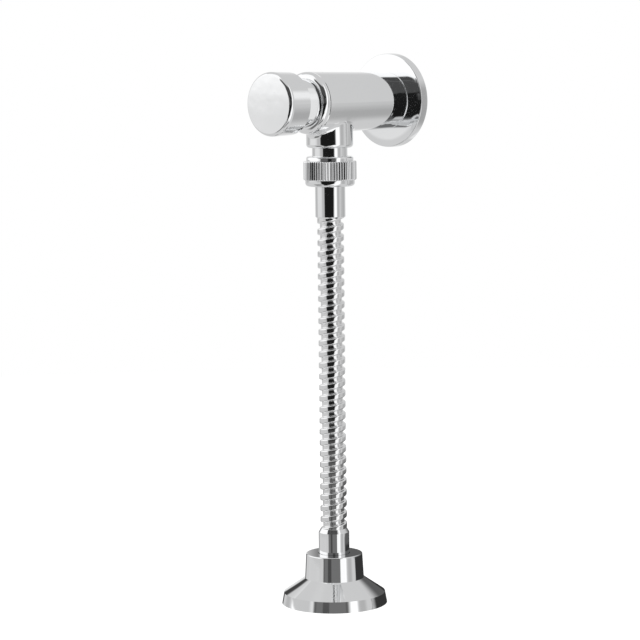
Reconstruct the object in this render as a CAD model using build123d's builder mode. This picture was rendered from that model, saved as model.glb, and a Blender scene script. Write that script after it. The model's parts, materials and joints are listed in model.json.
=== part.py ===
import os
from math import radians, sin

from build123d import *

# Self-closing push-button urinal valve with a corrugated riser tube. Millimetres.
# The valve axis runs along Y at height zero and the wall plane is Y = 0. The button faces -Y and +Z is up.
# A distance "forward" is counted from the wall towards the user, and a "depth" from the valve axis down.

# Wall flange and inlet
FLANGE_D = 56.4
FLANGE_T = 5.6
FLANGE_EDGE_R = 1.0
FLANGE_LIP = 3.2
FLANGE_RECESS = 3.0
FOAM_INNER_D = 27.0
THREAD_D = 20.955
INLET_REACH = 15.0
INLET_BORE_D = 12.0
INLET_HEX = 13.0
INLET_HEX_DEPTH = 8.0
INLET_ENGAGEMENT = 11.9
THREAD_CHAMFER = 0.8
RELIEF_D = 19.2
RELIEF_FORWARD = 2.0
RELIEF_SLOPE = 0.8
STRAINER_T = 1.5
STRAINER_HOLE_D = 1.6
STRAINER_PITCH = 3.2

# Body
BODY_REAR_D = 33.8
BODY_FRONT_D = 36.3
OUTLET_FORWARD = 55.6
BODY_OVERHANG = 17.5
BODY_EDGE = 0.25
BODY_REAR_R = 0.6
BOSS_D = 27.7
BOSS_DEPTH = 26.6
BOSS_EDGE_R = 2.0
BOSS_ROOT_R = 3.0
NECK_DEPTH = 41.0
OUTLET_BORE_D = 12.8
CHAMBER_D = 27.2
BONNET_BORE_D = 31.2
INLET_CHAMBER_D = 17.2

# Seat and moving valve
SEAT_FORWARD = 36.0
SEAT_T = 3.5
SEAT_D = 24.0
SEAT_HOLE_D = 11.0
SEAT_LIP_W = 1.2
SEAT_LIP_H = 0.8
POPPET_D = 14.4
POPPET_SEAL_T = 2.4
POPPET_DISC_T = 1.5
POPPET_NUT_T = 3.0
POPPET_NUT_HEX = 10.0
SPINDLE_D = 6.0
SPINDLE_STUB = 0.4
PISTON_T = 5.5
PISTON_PLAY = 0.4
CUP_T = 2.5
CUP_DEPTH = 1.6
CYLINDER_D = 20.0
CYLINDER_WALL = 1.8
WINDOW_L = 5.0
WINDOW_W = 7.0
WINDOW_COUNT = 4
WINDOW_OFFSET = 1.5
CARTRIDGE_RING_FROM_END = 4.0

# Bonnet
COLLAR_D = 36.3
COLLAR_L = 4.4
COLLAR_ROUND = 3.9
COLLAR_FACE_W = 0.2
JOINT_LINE = 0.3
BONNET_WALL_FORWARD = 63.5
BONNET_WALL_T = 2.5
GASKET_T = 1.0
GLAND_W = 1.7

# Button
TRAVEL = 8.0
PRESS_MARGIN = 0.3
PLUNGER_D = 28.4
PLUNGER_WALL = 1.8
PLUNGER_WEB_FORWARD = 96.5
PLUNGER_WEB_T = 3.0
LOCK_NUT_T = 3.0
BUTTON_FRONT_FORWARD = 106.2
BUTTON_L = 16.3
BUTTON_FRONT_D = 37.1
BUTTON_REAR_D = 36.3
BUTTON_ROUND = 3.0
BUTTON_ROUND_TURN = 65.0
BUTTON_FACE_T = 2.7
BUTTON_SKIRT_T = 1.6
BUTTON_SKIRT_L = 7.0

# Return spring
SPRING_WIRE_D = 1.6
SPRING_MEAN_D = 18.0
SPRING_TURNS = 6
SPRING_END_GAP = 0.1

# Union nut
NUT_TOP_DEPTH = 31.6
NUT_TOP_L = 2.8
NUT_TOP_D = 27.9
NUT_TOP_R = 1.2
KNURL_D = 31.4
KNURL_L = 11.2
KNURL_COUNT = 60
KNURL_GROOVE_W = 0.9
KNURL_GROOVE_DEPTH = 0.5
NUT_BOTTOM_L = 3.7
NUT_BOTTOM_D = 29.4
NUT_BOTTOM_R = 2.0
NUT_WEB_T = 2.9
WASHER_T = 2.0

# Riser tube
FERRULE_D = 17.9
FERRULE_COLLAR_D = 20.4
FERRULE_END_DEPTH = 68.2
FERRULE_CHAMFER = 0.9
FERRULE_SOCKET_L = 8.0
RISER_BORE_D = 10.0
TUBE_CREST_D = 15.9
TUBE_VALLEY_D = 12.6
TUBE_WALL = 0.4
TUBE_L = 186.2
RIB_COUNT = 28
RIB_RAMP = 0.45
SLEEVE_D = 18.46
SLEEVE_CHAMFER_W = 1.5
SLEEVE_CHAMFER_L = 2.5
SLEEVE_L = 47.4
SLEEVE_END_CHAMFER = 0.5
TAIL_D = 17.6
TAIL_L = 10.8
TAIL_STEP_L = 0.6

# Bell escutcheon
BELL_TOP_DEPTH = 269.7
BELL_H = 30.1
BELL_TOP_D = 33.9
BELL_WAIST_D = 35.5
BELL_WAIST_DROP = 14.8
BELL_CONE_D = 60.9
BELL_CONE_DROP = 23.6
BELL_RIM_D = 63.3
BELL_WALL = 1.3
BELL_TOP_R = 0.7
BELL_WAIST_R = 0.8
BELL_RIM_R = 1.2
BELL_HUB_L = 6.3
BELL_HUB_W = 3.0
BELL_RING_FROM_TOP = 3.2
BUNG_FLANGE_D = 29.6
BUNG_FLANGE_T = 3.5
BUNG_TOP_D = 28.0
BUNG_END_D = 25.6
BUNG_L = 14.0

# Clearances
SLIDE_FIT = 0.05
LOOSE_FIT = 0.1
FREE_GAP = 0.3
SEAT_GAP = 0.2
RING_SECTION_D = 1.6
BELL_RING_SECTION_D = 1.9

# Places that follow from the sizes above
BODY_FRONT = OUTLET_FORWARD + BODY_OVERHANG
INLET_END = FLANGE_T + INLET_ENGAGEMENT
STRAINER_END = INLET_END + STRAINER_T
SEAT_END = SEAT_FORWARD + SEAT_T
LIP_FACE = SEAT_FORWARD - SEAT_LIP_H
POPPET_FACE = LIP_FACE - SEAT_GAP
POPPET_BACK = POPPET_FACE - POPPET_SEAL_T
DISC_BACK = POPPET_BACK - POPPET_DISC_T
NUT_BACK = DISC_BACK - POPPET_NUT_T
BONNET_WALL_FRONT = BONNET_WALL_FORWARD + BONNET_WALL_T
GASKET_SEAT = BONNET_WALL_FORWARD - GASKET_T
PISTON_FRONT = BONNET_WALL_FORWARD - 2 * PISTON_PLAY
PISTON_BACK = PISTON_FRONT - PISTON_T
COLLAR_BACK = BODY_FRONT + JOINT_LINE
COLLAR_FRONT = COLLAR_BACK + COLLAR_L
PLUNGER_END = BONNET_WALL_FRONT + TRAVEL + PRESS_MARGIN
PLUNGER_WEB_FRONT = PLUNGER_WEB_FORWARD + PLUNGER_WEB_T
BUTTON_REAR = BUTTON_FRONT_FORWARD - BUTTON_L
BUTTON_CAVITY = BUTTON_FRONT_FORWARD - BUTTON_FACE_T
LOCK_NUT_FRONT = PLUNGER_WEB_FRONT + LOCK_NUT_T
NUT_BOTTOM_DEPTH = NUT_TOP_DEPTH + NUT_TOP_L + KNURL_L + NUT_BOTTOM_L
WASHER_DEPTH = NECK_DEPTH + SEAT_GAP
FERRULE_DEPTH = WASHER_DEPTH + WASHER_T
NUT_WEB_DEPTH = NUT_BOTTOM_DEPTH - NUT_WEB_T
FERRULE_COLLAR_END = NUT_WEB_DEPTH - FREE_GAP
SOCKET_DEPTH = FERRULE_END_DEPTH - FERRULE_SOCKET_L
SLEEVE_DEPTH = FERRULE_END_DEPTH + TUBE_L
SLEEVE_SOCKET_END = SLEEVE_DEPTH + FERRULE_SOCKET_L
SLEEVE_END = SLEEVE_DEPTH + SLEEVE_L
BELL_BOTTOM = BELL_TOP_DEPTH + BELL_H
BELL_HUB_END = BELL_TOP_DEPTH + BELL_HUB_L
BUNG_DEPTH = BELL_HUB_END + FREE_GAP

# Plane with radius across and "forward" up, plane with radius across and "depth" up, and their axes
ALONG_VALVE = Plane(origin=(0, 0, 0), x_dir=(1, 0, 0), z_dir=(0, 0, -1))
DOWN_RISER = Plane(origin=(0, -OUTLET_FORWARD, 0), x_dir=(1, 0, 0), z_dir=(0, 1, 0))
VALVE_AXIS = Axis((0, 0, 0), (0, 1, 0))
RISER_AXIS = Axis((0, -OUTLET_FORWARD, 0), (0, 0, 1))


def turned(plane, points):
    """Face bounded by straight lines through (radius, place) points, to be revolved."""
    with BuildSketch(plane) as face:
        with BuildLine():
            Polyline(*points, close=True)
        make_face()
    return face.sketch


def tube_face(plane, inner_d, outer_d, start, end):
    """Rectangular half section of a plain tube, washer or disc."""
    return turned(plane, [
        (inner_d / 2, start),
        (outer_d / 2, start),
        (outer_d / 2, end),
        (inner_d / 2, end),
    ])


def ring_face(plane, middle_d, section_d, place):
    """Round section of an O-ring."""
    with BuildSketch(plane) as face:
        with Locations((middle_d / 2, place)):
            Circle(section_d / 2)
    return face.sketch


def forward_plane(forward):
    """Plane across the valve axis, looking towards the user."""
    return Plane(origin=(0, -forward, 0), x_dir=(1, 0, 0), z_dir=(0, -1, 0))


def depth_plane(depth):
    """Plane across the riser axis, looking down."""
    return Plane(origin=(0, -OUTLET_FORWARD, -depth), x_dir=(1, 0, 0), z_dir=(0, 0, -1))


def body_d(forward):
    """Outer diameter of the tapered body at a distance from the wall."""
    share = (forward - FLANGE_T) / (BODY_FRONT - FLANGE_T)
    return BODY_REAR_D + (BODY_FRONT_D - BODY_REAR_D) * share


os.makedirs("parts", exist_ok=True)

# Wall flange: a disc with a recess in its back for the foam ring
FLANGE_HOLE_D = THREAD_D + 2 * FREE_GAP
RECESS_OUTER_D = FLANGE_D - 2 * FLANGE_LIP
with BuildPart() as wall_flange:
    revolve(turned(ALONG_VALVE, [
        (FLANGE_HOLE_D / 2, FLANGE_RECESS),
        (RECESS_OUTER_D / 2, FLANGE_RECESS),
        (RECESS_OUTER_D / 2, 0),
        (FLANGE_D / 2, 0),
        (FLANGE_D / 2, FLANGE_T),
        (FLANGE_HOLE_D / 2, FLANGE_T),
    ]), axis=VALVE_AXIS)
    front_face = wall_flange.faces().sort_by(Axis.Y)[0]
    fillet(front_face.outer_wire().edges(), FLANGE_EDGE_R)
wall_flange.part.label = "wall_flange"
export_step(wall_flange.part, "parts/wall_flange.step")

with BuildPart() as flange_seal:
    revolve(tube_face(ALONG_VALVE, FOAM_INNER_D, RECESS_OUTER_D - 2 * LOOSE_FIT,
                      0, FLANGE_RECESS), axis=VALVE_AXIS)
flange_seal.part.label = "flange_seal"
export_step(flange_seal.part, "parts/flange_seal.step")

# Inlet nipple: two threads at their major diameter, a relief between them inside the flange,
# and a hexagon socket in the wall end
with BuildPart() as inlet_nipple:
    revolve(turned(ALONG_VALVE, [
        (INLET_BORE_D / 2, -INLET_REACH),
        (THREAD_D / 2 - THREAD_CHAMFER, -INLET_REACH),
        (THREAD_D / 2, THREAD_CHAMFER - INLET_REACH),
        (THREAD_D / 2, RELIEF_FORWARD),
        (RELIEF_D / 2, RELIEF_FORWARD + RELIEF_SLOPE),
        (RELIEF_D / 2, FLANGE_T - RELIEF_SLOPE),
        (THREAD_D / 2, FLANGE_T),
        (THREAD_D / 2, INLET_END - THREAD_CHAMFER),
        (THREAD_D / 2 - THREAD_CHAMFER, INLET_END),
        (INLET_BORE_D / 2, INLET_END),
    ]), axis=VALVE_AXIS)
    with BuildSketch(forward_plane(-INLET_REACH)):
        RegularPolygon(INLET_HEX / 2, 6, major_radius=False)
    extrude(amount=INLET_HEX_DEPTH, mode=Mode.SUBTRACT)
inlet_nipple.part.label = "inlet_nipple"
export_step(inlet_nipple.part, "parts/inlet_nipple.step")

with BuildPart() as inlet_strainer:
    with BuildSketch(forward_plane(INLET_END)):
        Circle(THREAD_D / 2 - LOOSE_FIT)
        with HexLocations(STRAINER_PITCH / 2, 5, 5, major_radius=False):
            Circle(STRAINER_HOLE_D / 2, mode=Mode.SUBTRACT)
    extrude(amount=STRAINER_T)
inlet_strainer.part.label = "inlet_strainer"
export_step(inlet_strainer.part, "parts/inlet_strainer.step")

# Valve body: tapered barrel, outlet boss and neck, then the bores from each end
with BuildPart() as valve_body:
    revolve(turned(ALONG_VALVE, [
        (0, FLANGE_T),
        (BODY_REAR_D / 2, FLANGE_T),
        (body_d(BODY_FRONT - BODY_EDGE) / 2, BODY_FRONT - BODY_EDGE),
        (BODY_FRONT_D / 2 - BODY_EDGE, BODY_FRONT),
        (0, BODY_FRONT),
    ]), axis=VALVE_AXIS)
    rear_rim = valve_body.edges().filter_by(GeomType.CIRCLE).sort_by(Axis.Y)[-1]
    fillet(rear_rim, BODY_REAR_R)
    with BuildSketch(depth_plane(0)):
        Circle(BOSS_D / 2)
    extrude(amount=BOSS_DEPTH)
    boss_root = valve_body.edges().filter_by(
        lambda edge: edge.geom_type not in (GeomType.CIRCLE, GeomType.LINE))
    fillet(boss_root, BOSS_ROOT_R)
    boss_rim = valve_body.edges().filter_by(GeomType.CIRCLE).sort_by(Axis.Z)[0]
    fillet(boss_rim, BOSS_EDGE_R)
    with BuildSketch(depth_plane(0)):
        Circle(THREAD_D / 2)
    extrude(amount=NECK_DEPTH)
    neck_rim = valve_body.edges().filter_by(GeomType.CIRCLE).sort_by(Axis.Z)[0]
    chamfer(neck_rim, THREAD_CHAMFER)
    revolve(turned(ALONG_VALVE, [
        (0, FLANGE_T),
        (THREAD_D / 2 + SLIDE_FIT, FLANGE_T),
        (THREAD_D / 2 + SLIDE_FIT, STRAINER_END),
        (INLET_CHAMBER_D / 2, STRAINER_END),
        (INLET_CHAMBER_D / 2, SEAT_FORWARD),
        (SEAT_D / 2 + SLIDE_FIT, SEAT_FORWARD),
        (SEAT_D / 2 + SLIDE_FIT, SEAT_END),
        (CHAMBER_D / 2, SEAT_END),
        (CHAMBER_D / 2, GASKET_SEAT),
        (BONNET_BORE_D / 2, GASKET_SEAT),
        (BONNET_BORE_D / 2, BODY_FRONT),
        (0, BODY_FRONT),
    ]), axis=VALVE_AXIS, mode=Mode.SUBTRACT)
    with BuildSketch(depth_plane(0)):
        Circle(OUTLET_BORE_D / 2)
    extrude(amount=NECK_DEPTH, mode=Mode.SUBTRACT)
valve_body.part.label = "valve_body"
export_step(valve_body.part, "parts/valve_body.step")

# Seat ring: its raised lip points at the wall, towards the rubber disc
with BuildPart() as seat_insert:
    revolve(turned(ALONG_VALVE, [
        (SEAT_HOLE_D / 2, LIP_FACE),
        (SEAT_HOLE_D / 2 + SEAT_LIP_W, LIP_FACE),
        (SEAT_HOLE_D / 2 + SEAT_LIP_W, SEAT_FORWARD),
        (SEAT_D / 2, SEAT_FORWARD),
        (SEAT_D / 2, SEAT_END),
        (SEAT_HOLE_D / 2, SEAT_END),
    ]), axis=VALVE_AXIS)
seat_insert.part.label = "seat_insert"
export_step(seat_insert.part, "parts/seat_insert.step")

with BuildPart() as seat_seal:
    revolve(tube_face(ALONG_VALVE, SPINDLE_D, POPPET_D, POPPET_BACK, POPPET_FACE), axis=VALVE_AXIS)
seat_seal.part.label = "seat_seal"
export_step(seat_seal.part, "parts/seat_seal.step")

with BuildPart() as poppet_disc:
    revolve(tube_face(ALONG_VALVE, SPINDLE_D, POPPET_D, DISC_BACK, POPPET_BACK), axis=VALVE_AXIS)
poppet_disc.part.label = "poppet_disc"
export_step(poppet_disc.part, "parts/poppet_disc.step")

with BuildPart() as poppet_nut:
    with BuildSketch(forward_plane(NUT_BACK)):
        RegularPolygon(POPPET_NUT_HEX / 2, 6, major_radius=False)
        Circle(SPINDLE_D / 2, mode=Mode.SUBTRACT)
    extrude(amount=POPPET_NUT_T)
poppet_nut.part.label = "poppet_nut"
export_step(poppet_nut.part, "parts/poppet_nut.step")

with BuildPart() as spindle:
    with BuildSketch(forward_plane(NUT_BACK - SPINDLE_STUB)):
        Circle(SPINDLE_D / 2)
    extrude(amount=LOCK_NUT_FRONT - NUT_BACK + 2 * SPINDLE_STUB)
    chamfer(spindle.edges().filter_by(GeomType.CIRCLE), SPINDLE_STUB)
spindle.part.label = "spindle"
export_step(spindle.part, "parts/spindle.step")

with BuildPart() as spindle_lock_nut:
    with BuildSketch(forward_plane(PLUNGER_WEB_FRONT)):
        RegularPolygon(POPPET_NUT_HEX / 2, 6, major_radius=False)
        Circle(SPINDLE_D / 2, mode=Mode.SUBTRACT)
    extrude(amount=LOCK_NUT_T)
spindle_lock_nut.part.label = "spindle_lock_nut"
export_step(spindle_lock_nut.part, "parts/spindle_lock_nut.step")

# Cartridge: a cylinder with windows near the seat
CARTRIDGE_D = CYLINDER_D + 2 * CYLINDER_WALL
with BuildPart() as cartridge_sleeve:
    revolve(tube_face(ALONG_VALVE, CYLINDER_D, CARTRIDGE_D, SEAT_END, BONNET_WALL_FORWARD),
            axis=VALVE_AXIS)
    window_middle = SEAT_END + WINDOW_OFFSET + WINDOW_L / 2
    with Locations(forward_plane(window_middle)):
        with PolarLocations(CARTRIDGE_D / 2, WINDOW_COUNT, start_angle=180 / WINDOW_COUNT):
            Box(CARTRIDGE_D / 2, WINDOW_W, WINDOW_L, mode=Mode.SUBTRACT)
cartridge_sleeve.part.label = "cartridge_sleeve"
export_step(cartridge_sleeve.part, "parts/cartridge_sleeve.step")

CARTRIDGE_RING_D = (CARTRIDGE_D + CHAMBER_D) / 2
CARTRIDGE_RING_SECTION = (CHAMBER_D - CARTRIDGE_D) / 2 - 2 * SLIDE_FIT
with BuildPart() as cartridge_o_ring:
    revolve(ring_face(ALONG_VALVE, CARTRIDGE_RING_D, CARTRIDGE_RING_SECTION,
                      GASKET_SEAT - CARTRIDGE_RING_SECTION / 2), axis=VALVE_AXIS)
cartridge_o_ring.part.label = "cartridge_o_ring"
export_step(cartridge_o_ring.part, "parts/cartridge_o_ring.step")

# Piston of the closing delay and its lip seal
PISTON_D = CYLINDER_D - 2 * PISTON_PLAY
CUP_OUTER_D = CYLINDER_D - 2 * SLIDE_FIT
CUP_INNER_D = PISTON_D - 2 * CUP_DEPTH
CUP_BACK = (PISTON_BACK + PISTON_FRONT - CUP_T) / 2
with BuildPart() as dashpot_piston:
    revolve(turned(ALONG_VALVE, [
        (SPINDLE_D / 2, PISTON_BACK),
        (PISTON_D / 2, PISTON_BACK),
        (PISTON_D / 2, CUP_BACK),
        (CUP_INNER_D / 2, CUP_BACK),
        (CUP_INNER_D / 2, CUP_BACK + CUP_T),
        (PISTON_D / 2, CUP_BACK + CUP_T),
        (PISTON_D / 2, PISTON_FRONT),
        (SPINDLE_D / 2, PISTON_FRONT),
    ]), axis=VALVE_AXIS)
dashpot_piston.part.label = "dashpot_piston"
export_step(dashpot_piston.part, "parts/dashpot_piston.step")

with BuildPart() as cup_seal:
    revolve(turned(ALONG_VALVE, [
        (CUP_INNER_D / 2, CUP_BACK),
        (PISTON_D / 2, CUP_BACK),
        (CUP_OUTER_D / 2, CUP_BACK + CUP_T),
        (CUP_INNER_D / 2, CUP_BACK + CUP_T),
    ]), axis=VALVE_AXIS)
cup_seal.part.label = "cup_seal"
export_step(cup_seal.part, "parts/cup_seal.step")

# Bonnet: rounded collar in front, sleeve inside the body and a wall with a gland round the spindle
GUIDE_D = PLUNGER_D + 2 * SLIDE_FIT
BONNET_SLEEVE_D = BONNET_BORE_D - 2 * SLIDE_FIT
ROUND_REACH = (COLLAR_D - GUIDE_D) / 2 - COLLAR_FACE_W
GLAND_D = SPINDLE_D + 2 * RING_SECTION_D + 4 * LOOSE_FIT
GLAND_BACK = BONNET_WALL_FORWARD + (BONNET_WALL_T - GLAND_W) / 2
with BuildPart() as bonnet_collar:
    with BuildSketch(ALONG_VALVE):
        with BuildLine():
            Polyline(
                (GUIDE_D / 2, COLLAR_FRONT),
                (GUIDE_D / 2, BONNET_WALL_FRONT),
                (SPINDLE_D / 2 + SLIDE_FIT, BONNET_WALL_FRONT),
                (SPINDLE_D / 2 + SLIDE_FIT, GLAND_BACK + GLAND_W),
                (GLAND_D / 2, GLAND_BACK + GLAND_W),
                (GLAND_D / 2, GLAND_BACK),
                (SPINDLE_D / 2 + SLIDE_FIT, GLAND_BACK),
                (SPINDLE_D / 2 + SLIDE_FIT, BONNET_WALL_FORWARD),
                (BONNET_SLEEVE_D / 2, BONNET_WALL_FORWARD),
                (BONNET_SLEEVE_D / 2, COLLAR_BACK),
                (COLLAR_D / 2, COLLAR_BACK),
                (COLLAR_D / 2, COLLAR_FRONT - COLLAR_ROUND),
            )
            EllipticalCenterArc(
                (COLLAR_D / 2 - ROUND_REACH, COLLAR_FRONT - COLLAR_ROUND),
                ROUND_REACH, COLLAR_ROUND, start_angle=0, arc_size=90,
            )
            Line((COLLAR_D / 2 - ROUND_REACH, COLLAR_FRONT), (GUIDE_D / 2, COLLAR_FRONT))
        make_face()
    revolve(axis=VALVE_AXIS)
bonnet_collar.part.label = "bonnet_collar"
export_step(bonnet_collar.part, "parts/bonnet_collar.step")

with BuildPart() as bonnet_gasket:
    revolve(tube_face(ALONG_VALVE, CARTRIDGE_D + 2 * SEAT_GAP, BONNET_BORE_D - 2 * LOOSE_FIT,
                      GASKET_SEAT, BONNET_WALL_FORWARD), axis=VALVE_AXIS)
bonnet_gasket.part.label = "bonnet_gasket"
export_step(bonnet_gasket.part, "parts/bonnet_gasket.step")

with BuildPart() as spindle_seal:
    revolve(ring_face(ALONG_VALVE, SPINDLE_D + RING_SECTION_D + 2 * LOOSE_FIT, RING_SECTION_D,
                      GLAND_BACK + GLAND_W / 2), axis=VALVE_AXIS)
spindle_seal.part.label = "spindle_seal"
export_step(spindle_seal.part, "parts/spindle_seal.step")

# Plunger: the neck behind the cap, closed by a web that the spindle is screwed into
PLUNGER_BORE_D = PLUNGER_D - 2 * PLUNGER_WALL
with BuildPart() as plunger:
    revolve(turned(ALONG_VALVE, [
        (PLUNGER_BORE_D / 2, PLUNGER_END),
        (PLUNGER_D / 2, PLUNGER_END),
        (PLUNGER_D / 2, BUTTON_CAVITY),
        (PLUNGER_BORE_D / 2, BUTTON_CAVITY),
        (PLUNGER_BORE_D / 2, PLUNGER_WEB_FRONT),
        (SPINDLE_D / 2, PLUNGER_WEB_FRONT),
        (SPINDLE_D / 2, PLUNGER_WEB_FORWARD),
        (PLUNGER_BORE_D / 2, PLUNGER_WEB_FORWARD),
    ]), axis=VALVE_AXIS)
plunger.part.label = "plunger"
export_step(plunger.part, "parts/plunger.step")

# Cap of the button: flat face with a crisp edge, a rounded shoulder and a tapered skirt
SKIRT_END = BUTTON_REAR + BUTTON_SKIRT_L
with BuildPart() as push_button:
    with BuildSketch(ALONG_VALVE):
        with BuildLine():
            shoulder = CenterArc(
                (BUTTON_FRONT_D / 2 - BUTTON_ROUND,
                 BUTTON_FRONT_FORWARD - BUTTON_ROUND * sin(radians(BUTTON_ROUND_TURN))),
                BUTTON_ROUND, start_angle=0, arc_size=BUTTON_ROUND_TURN,
            )
            Polyline(
                shoulder @ 0,
                (BUTTON_REAR_D / 2, BUTTON_REAR),
                (BUTTON_REAR_D / 2 - BUTTON_SKIRT_T, BUTTON_REAR),
                (BUTTON_REAR_D / 2 - BUTTON_SKIRT_T, SKIRT_END),
                (PLUNGER_D / 2, SKIRT_END),
                (PLUNGER_D / 2, BUTTON_CAVITY),
                (0, BUTTON_CAVITY),
                (0, (shoulder @ 1).Y),
                shoulder @ 1,
            )
        make_face()
    revolve(axis=VALVE_AXIS)
push_button.part.label = "push_button"
export_step(push_button.part, "parts/push_button.step")

# Return spring between the bonnet wall and the web of the plunger
SPRING_L = PLUNGER_WEB_FORWARD - BONNET_WALL_FRONT - 2 * SPRING_END_GAP - SPRING_WIRE_D
SPRING_PITCH = SPRING_L / SPRING_TURNS
with BuildPart() as return_spring:
    with BuildLine() as coil:
        Helix(
            pitch=SPRING_PITCH,
            height=SPRING_L,
            radius=SPRING_MEAN_D / 2,
            center=(0, -(BONNET_WALL_FRONT + SPRING_END_GAP + SPRING_WIRE_D / 2), 0),
            direction=(0, -1, 0),
        )
    with BuildSketch(Plane(origin=coil.line @ 0, z_dir=coil.line % 0)):
        Circle(SPRING_WIRE_D / 2)
    sweep(is_frenet=True)
return_spring.part.label = "return_spring"
export_step(return_spring.part, "parts/return_spring.step")
print(f"return spring: pitch {SPRING_PITCH:.2f}, gap between turns {SPRING_PITCH - SPRING_WIRE_D:.2f}")

# Union nut: plain top collar, knurled grip and rounded lower collar round a stepped bore
KNURL_TOP = NUT_TOP_DEPTH + NUT_TOP_L
KNURL_END = KNURL_TOP + KNURL_L
with BuildPart() as coupling_nut:
    with BuildSketch(depth_plane(NUT_TOP_DEPTH)):
        Circle(NUT_TOP_D / 2)
    extrude(amount=NUT_TOP_L)
    top_rim = coupling_nut.edges().filter_by(GeomType.CIRCLE).sort_by(Axis.Z)[-1]
    fillet(top_rim, NUT_TOP_R)
    with BuildSketch(depth_plane(KNURL_TOP)):
        Circle(KNURL_D / 2)
        with PolarLocations(KNURL_D / 2, KNURL_COUNT):
            Rectangle(2 * KNURL_GROOVE_DEPTH, KNURL_GROOVE_W, mode=Mode.SUBTRACT)
    extrude(amount=KNURL_L)
    with BuildSketch(depth_plane(KNURL_END)):
        Circle(NUT_BOTTOM_D / 2)
    extrude(amount=NUT_BOTTOM_L)
    bottom_rim = coupling_nut.edges().filter_by(GeomType.CIRCLE).sort_by(Axis.Z)[0]
    fillet(bottom_rim, NUT_BOTTOM_R)
    revolve(turned(DOWN_RISER, [
        (0, NUT_TOP_DEPTH),
        (THREAD_D / 2 + SLIDE_FIT, NUT_TOP_DEPTH),
        (THREAD_D / 2 + SLIDE_FIT, NUT_WEB_DEPTH),
        (FERRULE_D / 2 + FREE_GAP, NUT_WEB_DEPTH),
        (FERRULE_D / 2 + FREE_GAP, NUT_BOTTOM_DEPTH),
        (0, NUT_BOTTOM_DEPTH),
    ]), axis=RISER_AXIS, mode=Mode.SUBTRACT)
coupling_nut.part.label = "coupling_nut"
export_step(coupling_nut.part, "parts/coupling_nut.step")

with BuildPart() as hose_washer:
    revolve(tube_face(DOWN_RISER, OUTLET_BORE_D, FERRULE_COLLAR_D, WASHER_DEPTH, FERRULE_DEPTH),
            axis=RISER_AXIS)
hose_washer.part.label = "hose_washer"
export_step(hose_washer.part, "parts/hose_washer.step")

# Upper ferrule: collar inside the nut, smooth sleeve and a socket for the tube
with BuildPart() as upper_ferrule:
    revolve(turned(DOWN_RISER, [
        (RISER_BORE_D / 2, FERRULE_DEPTH),
        (FERRULE_COLLAR_D / 2, FERRULE_DEPTH),
        (FERRULE_COLLAR_D / 2, FERRULE_COLLAR_END),
        (FERRULE_D / 2, FERRULE_COLLAR_END),
        (FERRULE_D / 2, FERRULE_END_DEPTH - FERRULE_CHAMFER),
        (FERRULE_D / 2 - FERRULE_CHAMFER, FERRULE_END_DEPTH),
        (TUBE_VALLEY_D / 2, FERRULE_END_DEPTH),
        (TUBE_VALLEY_D / 2, SOCKET_DEPTH),
        (RISER_BORE_D / 2, SOCKET_DEPTH),
    ]), axis=RISER_AXIS)
upper_ferrule.part.label = "upper_ferrule"
export_step(upper_ferrule.part, "parts/upper_ferrule.step")

# Corrugated tube: each rib is a ruled loft through four circles, outside and inside
RIB_PITCH = TUBE_L / RIB_COUNT
RIB_CREST_L = RIB_PITCH / 2 - RIB_RAMP
with BuildPart() as corrugated_tube:
    for wall, side in ((0, Mode.ADD), (TUBE_WALL, Mode.SUBTRACT)):
        with BuildSketch(depth_plane(SOCKET_DEPTH)):
            Circle(TUBE_VALLEY_D / 2 - wall)
        for rib in range(RIB_COUNT):
            rib_top = FERRULE_END_DEPTH + rib * RIB_PITCH
            crest_top = rib_top + RIB_RAMP + wall
            crest_end = rib_top + RIB_RAMP + RIB_CREST_L - wall
            for depth, circle_d in (
                (rib_top + wall, TUBE_VALLEY_D),
                (crest_top, TUBE_CREST_D),
                (crest_end, TUBE_CREST_D),
                (crest_end + RIB_RAMP, TUBE_VALLEY_D),
            ):
                with BuildSketch(depth_plane(depth)):
                    Circle(circle_d / 2 - wall)
        with BuildSketch(depth_plane(SLEEVE_SOCKET_END)):
            Circle(TUBE_VALLEY_D / 2 - wall)
        loft(ruled=True, mode=side)
corrugated_tube.part.label = "corrugated_tube"
export_step(corrugated_tube.part, "parts/corrugated_tube.step")

# Lower sleeve: chamfered top, socket for the tube and a narrower tail below the bung
TAIL_DEPTH = SLEEVE_END - TAIL_L
with BuildPart() as lower_ferrule:
    revolve(turned(DOWN_RISER, [
        (TUBE_VALLEY_D / 2, SLEEVE_DEPTH),
        (SLEEVE_D / 2 - SLEEVE_CHAMFER_W, SLEEVE_DEPTH),
        (SLEEVE_D / 2, SLEEVE_DEPTH + SLEEVE_CHAMFER_L),
        (SLEEVE_D / 2, TAIL_DEPTH - TAIL_STEP_L),
        (TAIL_D / 2, TAIL_DEPTH),
        (TAIL_D / 2, SLEEVE_END - SLEEVE_END_CHAMFER),
        (TAIL_D / 2 - SLEEVE_END_CHAMFER, SLEEVE_END),
        (RISER_BORE_D / 2, SLEEVE_END),
        (RISER_BORE_D / 2, SLEEVE_SOCKET_END),
        (TUBE_VALLEY_D / 2, SLEEVE_SOCKET_END),
    ]), axis=RISER_AXIS)
lower_ferrule.part.label = "lower_ferrule"
export_step(lower_ferrule.part, "parts/lower_ferrule.step")

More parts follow.
